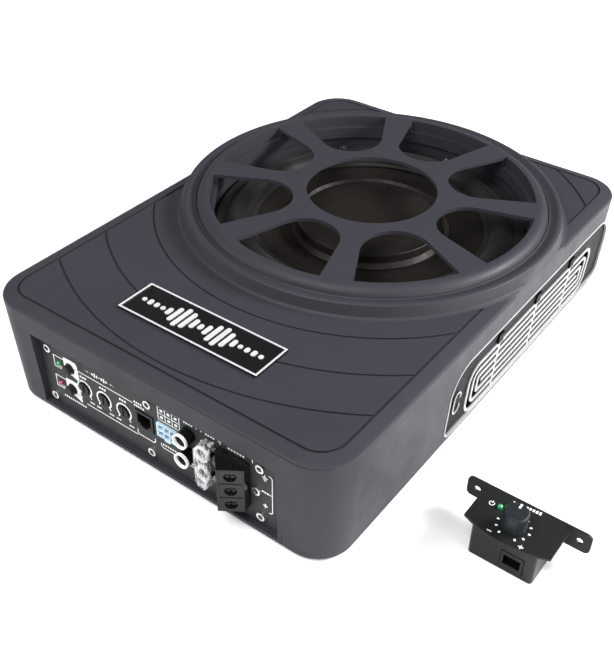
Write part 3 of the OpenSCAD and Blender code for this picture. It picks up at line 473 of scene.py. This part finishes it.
class Print:
    """Flat artwork on a face: strokes and filled shapes, each a thin closed solid."""

    def __init__(self, origin, across, up, depth=PRINT_DEPTH):
        self.origin = Vector(origin)
        self.across = Vector(across)
        self.up = Vector(up)
        self.out = self.across.cross(self.up).normalized()
        self.depth = depth
        self.mesh = bmesh.new()

    def at(self, point, height):
        return self.origin + self.across * point[0] + self.up * point[1] + self.out * height

    def band(self, left, right, closed):
        """A solid between two lines of points."""
        rows = []
        for a, b in zip(left, right):
            rows.append([self.mesh.verts.new(self.at(p, h)) for p, h in
                         ((a, 0), (b, 0), (b, self.depth), (a, self.depth))])
        pairs = list(zip(rows, rows[1:]))
        if closed:
            pairs.append((rows[-1], rows[0]))
        for first, second in pairs:
            for i in range(4):
                j = (i + 1) % 4
                self.mesh.faces.new((first[i], first[j], second[j], second[i]))
        if not closed:
            self.mesh.faces.new(rows[0])
            self.mesh.faces.new(list(reversed(rows[-1])))

    def stroke(self, points, width, closed=False):
        """A line of even width with mitred corners."""
        points = [Vector(p) for p in points]
        left, right = [], []
        for i, point in enumerate(points):
            before = points[i - 1] if i > 0 or closed else None
            after = points[(i + 1) % len(points)] if i < len(points) - 1 or closed else None
            first = (point - before).normalized() if before is not None else (after - point).normalized()
            second = (after - point).normalized() if after is not None else first
            along = (first + second).normalized()
            reach = width / 2 / max(along.dot(first), 0.4)
            side = Vector((-along.y, along.x)) * reach
            left.append(point + side)
            right.append(point - side)
        self.band(left, right, closed)

    def patch(self, outline):
        """A filled convex shape."""
        bottom = [self.mesh.verts.new(self.at(p, 0)) for p in outline]
        top = [self.mesh.verts.new(self.at(p, self.depth)) for p in outline]
        self.mesh.faces.new(list(reversed(bottom)))
        self.mesh.faces.new(top)
        for i in range(len(outline)):
            j = (i + 1) % len(outline)
            self.mesh.faces.new((bottom[i], bottom[j], top[j], top[i]))

    def bar(self, centre, width, height, radius=None):
        radius = radius if radius is not None else min(width, height) * 0.3
        self.patch(rounded_box(centre, width / 2, height / 2, radius, 3))

    def dashes(self, start, count, pitch, width, height):
        """A row of short bars that stands where a label would be."""
        for i in range(count):
            self.bar((start[0] + i * pitch, start[1]), width, height)

    def plus(self, centre, size, width):
        x, y = centre
        half, w = size / 2, width / 2
        self.patch([(x - half, y - w), (x + half, y - w), (x + half, y + w), (x - half, y + w)])
        for s in (-1, 1):
            self.patch([(x - w, y + s * w), (x + w, y + s * w), (x + w, y + s * half), (x - w, y + s * half)][::s])

    def finish(self, name, body, material, slot):
        return finish_mesh(name, self.mesh, body, material, smooth=False)


def level_bars(art, centre, half_w, half_h, count):
    """A plain row of level bars whose heights rise and fall."""
    pitch = 2 * half_w / (count - 1)
    for i in range(count):
        t = i / (count - 1)
        swell = math.sin(math.pi * t) ** 0.7
        ripple = 0.62 + 0.38 * math.cos(t * math.pi * 6.0)
        height = 2 * half_h * max(0.16, swell * ripple)
        art.bar((centre[0] - half_w + i * pitch, centre[1]), pitch * 0.58, height, pitch * 0.24)


# ---------- nameplate ----------

def make_nameplate():
    low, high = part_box("nameplate")
    half_w, half_l = (high.x - low.x) / 2, (high.y - low.y) / 2
    centre = (low + high) / 2
    border = 1.1 * MM
    frame_art = Print((centre.x, centre.y, high.z - 0.04 * MM), (1, 0, 0), (0, 1, 0), 0.22 * MM)
    inset = border / 2 + 0.05 * MM
    corners = [(-half_w + inset, -half_l + inset), (half_w - inset, -half_l + inset),
               (half_w - inset, half_l - inset), (-half_w + inset, half_l - inset)]
    frame_art.stroke(corners, border, closed=True)
    frame_art.finish("nameplate_border", "enclosure", "silver", "silver")
    art = Print((centre.x, centre.y, high.z - 0.32 * MM), (1, 0, 0), (0, 1, 0), 0.5 * MM)
    level_bars(art, (0, 0), half_w - 7.5 * MM, half_l - 3.9 * MM, 19)
    art.finish("nameplate_level_bars", "enclosure", "silver", "silver")


# ---------- control panel print ----------

def panel_art(depth=PRINT_DEPTH):
    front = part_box("control_panel")[0].y
    return Print((0, front - PRINT_LIFT, 0), (1, 0, 0), (0, 0, 1), depth)


def place(node):
    """Where a node stands on the panel, as (x, z)."""
    centre = middle(node)
    return centre.x, centre.z


def shifted(point, dx, dz):
    """A point moved by an amount given in millimetres."""
    return point[0] + dx * MM, point[1] + dz * MM


def bracket(art, left, right, level, drop, width):
    """A horizontal line whose ends turn up or down."""
    bend = 1.2 * MM * (1 if drop > 0 else -1)
    art.stroke([(left, level + drop), (left, level + bend), (left + abs(bend), level),
                (right - abs(bend), level), (right, level + bend), (right, level + drop)], width)


DIALS = ("level_control", "bass_control", "filter_control")
BUTTON_FIELD = (
    (-4.6, 6.2), (1.0, 6.6), (5.4, 6.4), (6.4, 4.2), (6.6, 0.0), (6.8, -3.6),
    (7.0, -7.0), (4.0, -5.8), (1.4, -4.8), (-2.6, -4.4), (-4.4, -2.2), (-4.8, 1.6),
)


def print_buttons(art, line):
    """White fields beside the two push buttons, and the lines that lead to the lamps."""
    for button, lamp in (("phase_button", "power_led"), ("auto_on_button", "protect_led")):
        x, z = place(button)
        outer = [Vector(shifted((x, z), dx, dz)) for dx, dz in BUTTON_FIELD]
        outer = [a.lerp(b, t / 4) for a, b in zip(outer, outer[1:] + outer[:1]) for t in range(4)]
        inner = [point_towards((x, z), point, 3.7 * MM) for point in outer]
        art.band(outer, inner, closed=True)
        lx, lz = place(lamp)
        art.stroke([shifted((lx, lz), 4.0, 3.9), shifted((lx, lz), -4.6, 3.9), shifted((lx, lz), -4.6, -4.2),
                    shifted((lx, lz), 4.4, -4.2)], line)
        art.dashes(shifted((lx, lz), -2.6, -2.7), 5, 1.25 * MM, 0.8 * MM, 0.9 * MM)
    x, z = place("auto_on_button")
    art.dashes(shifted((x, z), -8.0, -9.0), 11, 1.7 * MM, 1.15 * MM, 1.3 * MM)


def point_towards(centre, point, radius):
    """The point at a radius from the centre, in the direction of another point."""
    direction = (Vector(point) - Vector(centre)).normalized()
    return Vector(centre) + direction * radius


def print_dials(art, line):
    """An open scale round each rotary control, between two long lines."""
    dials = [place(node) for node in DIALS]
    for x, z in dials:
        art.stroke(arc_points((x, z), 5.4 * MM, -50, 230, 28), 0.9 * MM)
        for angle in (-50, 230):
            a = math.radians(angle)
            tip = (x + 7.4 * MM * math.cos(a), z + 7.4 * MM * math.sin(a))
            art.stroke([(x + 5.9 * MM * math.cos(a), z + 5.9 * MM * math.sin(a)), tip], 0.7 * MM)
        art.dashes(shifted((x, z), -1.9, 8.2), 3, 1.9 * MM, 1.3 * MM, 1.4 * MM)
        art.dashes(shifted((x, z), -6.4, -8.4), 3, 1.3 * MM, 0.9 * MM, 1.1 * MM)
        art.dashes(shifted((x, z), 3.6, -8.4), 3, 1.3 * MM, 0.9 * MM, 1.1 * MM)
    left, right = dials[0], dials[-1]
    art.stroke([shifted(left, -7.5, 11.2), shifted(right, 8, 11.2)], line)
    art.stroke([shifted(left, 0, -11.6), shifted(right, 9.5, -11.6)], line)
    level_bars(art, shifted(left, 14, 15.2), 11 * MM, 1.7 * MM, 13)


def print_sockets(art, line):
    """Marks round the remote socket and the speaker input."""
    x, z = place("remote_socket")
    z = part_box("remote_socket")[1].z - 6 * MM
    for i in range(2):
        art.dashes(shifted((x, z), -6.6, 8.3 + 2.3 * i), 5 - i, 1.6 * MM, 1.1 * MM, 1.3 * MM)
    bracket(art, x - 6.6 * MM, x + 6.6 * MM, z - 13.0 * MM, 3.6 * MM, line)
    x = middle("speaker_input_socket").x
    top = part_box("speaker_input_socket")[1].z
    table = (x + 0.9 * MM, top + 6.4 * MM)
    half_w, half_h = 7.6 * MM, 4.7 * MM
    art.stroke(rounded_box(table, half_w, half_h, 0.5 * MM, 2), line, closed=True)
    for i in (-1, 1):
        column = table[0] + i * half_w / 3
        art.stroke([(column, table[1] - half_h + line), (column, table[1] - line)], line)
        art.stroke([(column, table[1] + line), (column, table[1] + half_h - line)], line)
    art.stroke([(table[0] - half_w + line, table[1]), (table[0] + half_w - line, table[1])], line)
    for i in (-1, 0, 1):
        for j in (-1, 1):
            art.bar((table[0] + i * half_w * 0.667, table[1] + j * half_h * 0.5), 2.1 * MM, 1.7 * MM)
    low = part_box("speaker_input_pins")[0].z
    bracket(art, x - 6.4 * MM, x + 7.2 * MM, low - 11.5 * MM, 3.0 * MM, line)
    art.dashes((x - 4.6 * MM, low - 8.8 * MM), 7, 1.7 * MM, 1.1 * MM, 1.2 * MM)


def print_line_sockets(art, line):
    """Brackets above and below each pair of line sockets."""
    for node in ("rca_in_housing", "rca_out_housing"):
        low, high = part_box(node)
        x = middle(node).x
        top = high.z + 1.6 * MM
        bracket(art, x - 5.8 * MM, x + 5.8 * MM, top + 2.4 * MM, -3.0 * MM, line)
        art.dashes((x - 2.6 * MM, top - 0.2 * MM), 4, 1.7 * MM, 1.15 * MM, 1.3 * MM)
        foot = high.z - 29.5 * MM
        bracket(art, x - 5.0 * MM, x + 5.4 * MM, foot, 2.4 * MM, line)
        art.dashes((x - 2.2 * MM, foot + 1.9 * MM), 3, 1.8 * MM, 1.2 * MM, 1.2 * MM)


def print_terminals(art, line):
    """A bracket over the terminal block, and a sign beside each terminal."""
    low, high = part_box("terminal_block")
    bracket(art, low.x + 0.5 * MM, low.x + 21.5 * MM, high.z + 4.4 * MM, -3.2 * MM, line)
    art.dashes((low.x + 6.2 * MM, high.z + 2.0 * MM), 6, 1.9 * MM, 1.3 * MM, 1.4 * MM)
    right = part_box("control_panel")[1].x - 14.5 * MM
    signs = [middle(f"terminal_screw_{place_name}").z for place_name in ("top", "mid", "low")]
    x = right + 1.0 * MM
    for i, length in enumerate((3.6, 2.4, 1.2)):
        art.stroke([(x - length / 2 * MM, signs[0] - (i * 1.1 - 0.6) * MM),
                    (x + length / 2 * MM, signs[0] - (i * 1.1 - 0.6) * MM)], 0.5 * MM)
    art.stroke([(x, signs[0] + 0.9 * MM), (x, signs[0] + 2.6 * MM)], 0.5 * MM)
    art.dashes((x - 1.6 * MM, signs[1]), 3, 1.6 * MM, 1.1 * MM, 1.2 * MM)
    art.plus((x, signs[2]), 3.0 * MM, 0.7 * MM)
    side = x + 4.6 * MM
    art.stroke([(side - 2.2 * MM, signs[0] + 3.2 * MM), (side - 1.0 * MM, signs[0] + 3.2 * MM),
                (side, signs[0] + 2.2 * MM), (side, signs[2] - 2.6 * MM), (side - 1.0 * MM, signs[2] - 3.6 * MM),
                (side - 2.2 * MM, signs[2] - 3.6 * MM)], line)
    art.stroke([(side - 2.4 * MM, signs[1]), (side - 0.4 * MM, signs[1])], line)


def make_dial_wells_and_socket_shade():
    """A black ring round each rotary control, and a dark disc of painted shadow in each panel screw's socket."""
    rings = panel_art()
    for x, z in (place(node) for node in DIALS):
        rings.band([Vector(p) for p in arc_points((x, z), 4.6 * MM, 0, 354, 59)],
                   [Vector(p) for p in arc_points((x, z), 3.75 * MM, 0, 354, 59)], closed=True)
    rings.finish("dial_wells", "enclosure", "control_black", "control_black")
    painted_socket_shade = Print((0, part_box("control_panel")[0].y - 0.3 * MM, 0), (1, 0, 0), (0, 0, 1), 0.12 * MM)
    low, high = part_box("panel_screws")
    head = 2.65 * MM
    rows = (low.z + head, high.z - head)
    columns = (low.x + head, PANEL_SCREW_MIDDLE + low.x + head, high.x - head)
    # painted shadow: dark discs in the panel screws' hex sockets stand in for the shade inside the recesses
    for point in [(x, z) for x in columns for z in rows] + [shifted((columns[2], rows[0]), -2.6, 17.7)]:
        painted_socket_shade.patch([tuple(p) for p in arc_points(point, 1.68 * MM, 0, 300, 5)])
    painted_socket_shade.finish("screw_sockets", "enclosure", "socket_black", "steel")


def make_panel_print():
    art = panel_art()
    line = 0.5 * MM
    print_buttons(art, line)
    print_dials(art, line)
    print_sockets(art, line)
    print_line_sockets(art, line)
    print_terminals(art, line)
    art.finish("panel_print", "enclosure", "white_ink", "panel_grey")


# ---------- terminal block ----------

def make_terminal_ribs():
    """Thin ribs that divide the slanting face of the terminal block into tiers."""
    low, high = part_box("terminal_block")
    left = Vector((low.x + 9.2 * MM, low.y, 0))
    right = Vector((high.x, low.y + 8 * MM, 0))
    along = (right - left).normalized()
    length = (right - left).length
    levels = [middle(f"terminal_screw_{level}").z for level in ("low", "mid", "top")]
    pitch = levels[1] - levels[0]
    art = Print(left - along.cross(Vector((0, 0, 1))) * 0.1 * MM, along, (0, 0, 1), 0.42 * MM)
    for z in (levels[0] + pitch / 2, levels[1] + pitch / 2):
        art.bar((length / 2, z), length - 1.6 * MM, 0.55 * MM, 0.1 * MM)
    for x in (1.2 * MM, length - 1.2 * MM):
        art.bar((x, levels[1]), 0.5 * MM, 3 * pitch - 1.4 * MM, 0.1 * MM)
    art.finish("terminal_ribs", "enclosure", "terminal_black", "terminal_black")


# ---------- vent mark ----------

def make_vent_marks():
    """A small rounded mark on each vent cover, in front of the fins."""
    for side, node in ((1, "vent_panel_right"), (-1, "vent_panel_left")):
        low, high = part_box(node)
        low_fin, high_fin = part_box(node.replace("panel", "fins"))
        face_x = high_fin.x if side > 0 else low_fin.x
        centre = Vector((face_x - side * VENT_MARK_INSET, low.y + 11 * MM,
                         (low_fin.z + high_fin.z) / 2 + 3 * MM))
        up = Vector((side * math.sin(WALL_LEAN), 0, math.cos(WALL_LEAN)))
        art = Print(centre, (0, side, 0), up, 0.5 * MM)
        mark = arc_points((0, 4.2 * MM), 3.4 * MM, -30, 180, 12)
        mark += arc_points((0, -4.2 * MM), 3.4 * MM, 180, 390, 12)
        if side < 0:
            mark = [(-x, y) for x, y in mark]
        art.stroke(mark, 1.1 * MM)
        art.finish(f"vent_mark_{'right' if side > 0 else 'left'}", "enclosure", "vent_silver", "silver")


# ---------- clear film ----------

def make_film():
    """A crumpled wrap round the second pair of line sockets, open towards the panel."""
    low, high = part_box("protective_film")
    centre = (low + high) / 2
    half = (high - low) / 2
    around_count, depth_count, front_count = 72, 14, 12
    mesh = bmesh.new()
    rings = []
    inset = 0.45 * MM
    for j in range(depth_count + 1):
        outline = rounded_box((0, 0), half.x - inset, half.z - inset, 5.2 * MM, around_count // 4 - 1)
        y = high.y - 0.2 * MM - (2 * half.y - 1.0 * MM) * j / depth_count
        rings.append(film_ring(mesh, outline, centre, y, 1.0, j))
    for k in range(1, front_count + 1):
        scale = 1 - k / (front_count + 0.5)
        y = low.y + 0.8 * MM - 0.4 * MM * math.sin(k)
        rings.append(film_ring(mesh, outline, centre, y, scale, depth_count + k))
    for first, second in zip(rings, rings[1:]):
        count = len(first)
        for i in range(count):
            mesh.faces.new((first[i], first[(i + 1) % count], second[(i + 1) % count], second[i]))
    mesh.faces.new(rings[-1])
    piece = finish_mesh("film_wrap", mesh, "enclosure", "clear_film")
    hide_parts("protective_film")


def film_ring(mesh, outline, centre, y, scale, row):
    """One ring of the film, pushed in and out by folded noise."""
    ring = []
    for x, z in outline:
        point = Vector((centre.x + x * scale, y, centre.z + z * scale))
        fold = 1 - abs(noise.noise(point * 420)) * 2
        crumple = noise.noise(point * 900 + Vector((3, 7, row * 0.3)))
        pull = 1 - (0.07 + 0.09 * fold + 0.05 * crumple)
        push = abs(noise.noise(point * 610 + Vector((9, 1, 4)))) * 1.6 * MM
        ring.append(mesh.verts.new((centre.x + (point.x - centre.x) * pull, point.y + push,
                                    centre.z + (point.z - centre.z) * (1 - (1 - pull) * 0.4))))
    return ring


# ---------- remote control ----------

def make_remote_print():
    low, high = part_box("remote_face_plate")
    knob = middle("remote_knob")
    art = Print((knob.x, knob.y, high.z + PRINT_LIFT), (1, 0, 0), (0, 1, 0))
    for i in range(11):
        a = math.radians(90 - (i - 5) * 30)
        inner, outer = 7.9 * MM, 9.2 * MM
        if i == 5:
            outer = 9.6 * MM
        tick = [(reach * math.cos(a), reach * math.sin(a)) for reach in (inner, outer)]
        art.stroke(tick, 0.95 * MM)
    wedge_y = high.y - knob.y - 3.9 * MM
    for i in range(9):
        height = (0.5 + 0.2 * i) * MM
        art.bar(((i - 4) * 1.75 * MM, wedge_y + height / 2), 1.1 * MM, height, 0.15 * MM)
    lamp = middle("remote_led")
    lx, ly = lamp.x - knob.x - 4.6 * MM, lamp.y - knob.y
    art.stroke(arc_points((lx, ly), 1.35 * MM, 125, 415, 20), 0.4 * MM)
    art.stroke([(lx, ly + 0.3 * MM), (lx, ly + 1.9 * MM)], 0.4 * MM)
    minus, plus = (-8.6 * MM, -9.6 * MM), (8.6 * MM, -9.6 * MM)
    art.bar(minus, 2.6 * MM, 0.55 * MM, 0.1 * MM)
    art.plus(plus, 2.6 * MM, 0.55 * MM)
    art.finish("remote_print", "remote", "white_ink", "remote_black")


def make_knob_pointer():
    """The white line on the knob, and the fine ring round its crown."""
    low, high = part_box("remote_knob")
    centre = (low + high) / 2
    radius = (high.x - low.x) / 2
    art = Print((centre.x, centre.y, high.z - 0.38 * MM), (1, 0, 0), (0, 1, 0), 0.36 * MM)
    art.bar((0, radius - 2.4 * MM), 1.1 * MM, 3.1 * MM, 0.1 * MM)
    art.finish("knob_pointer", "remote_knob", "white_ink", "knob_black")
    rim = bmesh.new()
    rows = []
    turns, sides = 96, 8
    tube = 0.22 * MM
    ring_radius = radius - 0.62 * MM
    for i in range(turns):
        a = 2 * math.pi * i / turns
        row = []
        for k in range(sides):
            b = 2 * math.pi * k / sides
            r = ring_radius + tube * math.cos(b)
            row.append(rim.verts.new((centre.x + r * math.cos(a), centre.y + r * math.sin(a),
                                      high.z - 0.3 * MM + tube * math.sin(b))))
        rows.append(row)
    for i in range(turns):
        for k in range(sides):
            first, second = rows[i], rows[(i + 1) % turns]
            rim.faces.new((first[k], first[(k + 1) % sides], second[(k + 1) % sides], second[k]))
    finish_mesh("knob_crown_ring", rim, "remote_knob", "knob_black")


make_nameplate()
make_panel_print()
make_dial_wells_and_socket_shade()
make_terminal_ribs()
make_vent_marks()
make_film()
make_remote_print()
make_knob_pointer()


# ---------- stage and light ----------

def make_floor():
    mesh = bpy.data.meshes.new("floor")
    size = 8.0
    corners = [(-size, -size, 0), (size, -size, 0), (size, size, 0), (-size, size, 0)]
    mesh.from_pydata(corners, [], [(0, 1, 2, 3)])
    floor = bpy.data.objects.new("floor", mesh)
    bpy.context.scene.collection.objects.link(floor)
    s = Shader("pale_floor", Specular_IOR_Level=0.2)
    s.colour(s.ramp(s.noise(3, 2), (0.9, 0.9, 0.9), (0.92, 0.92, 0.92)))
    s.roughness(s.ramp(s.noise(20, 2), 0.7, 0.8))
    mesh.materials.append(s.material)


def area_light(name, location, target, size, power):
    data = bpy.data.lights.new(name, "AREA")
    data.shape = "RECTANGLE"
    data.size, data.size_y = size
    data.energy = power
    light = bpy.data.objects.new(name, data)
    light.location = location
    light.rotation_euler = (Vector(target) - Vector(location)).to_track_quat("-Z", "Y").to_euler()
    bpy.context.scene.collection.objects.link(light)


def make_world():
    """Soft studio surroundings that are brighter in front of the enclosure than behind it."""
    world = bpy.data.worlds.new("studio")
    world.use_nodes = True
    tree = world.node_tree
    direction = tree.nodes.new("ShaderNodeTexCoord").outputs["Generated"]
    facing = tree.nodes.new("ShaderNodeVectorMath")
    facing.operation = "DOT_PRODUCT"
    facing.inputs[1].default_value = (0.25, -0.85, 0.1)
    ramp = tree.nodes.new("ShaderNodeMapRange")
    ramp.inputs["From Min"].default_value = -0.9
    ramp.inputs["From Max"].default_value = 0.7
    ramp.inputs["To Min"].default_value = WORLD_BACK
    ramp.inputs["To Max"].default_value = WORLD_FRONT
    tree.links.new(direction, facing.inputs[0])
    tree.links.new(facing.outputs["Value"], ramp.inputs["Value"])
    background = tree.nodes["Background"]
    background.inputs["Color"].default_value = (0.97, 0.98, 1.0, 1)
    tree.links.new(ramp.outputs["Result"], background.inputs["Strength"])
    bpy.context.scene.world = world


def make_lights():
    area_light("right_softbox", (1.15, -0.1, 0.36), (0, 0, 0.04), (0.9, 0.5), 8)
    area_light("right_back_softbox", (0.8, 0.55, 0.62), (0.05, 0, 0.08), (0.5, 0.3), 22)
    area_light("front_left_softbox", (-0.6, -0.5, 0.26), (-0.1, -0.12, 0.05), (0.4, 0.3), 1.5)
    area_light("overhead_softbox", (-0.1, -0.7, 1.15), (0, -0.15, 0.05), (1.0, 0.7), 16)
    bpy.context.scene.view_settings.view_transform = "Standard"


make_floor()
make_world()
make_lights()

# ---------- final update -------

bpy.context.view_layer.update()
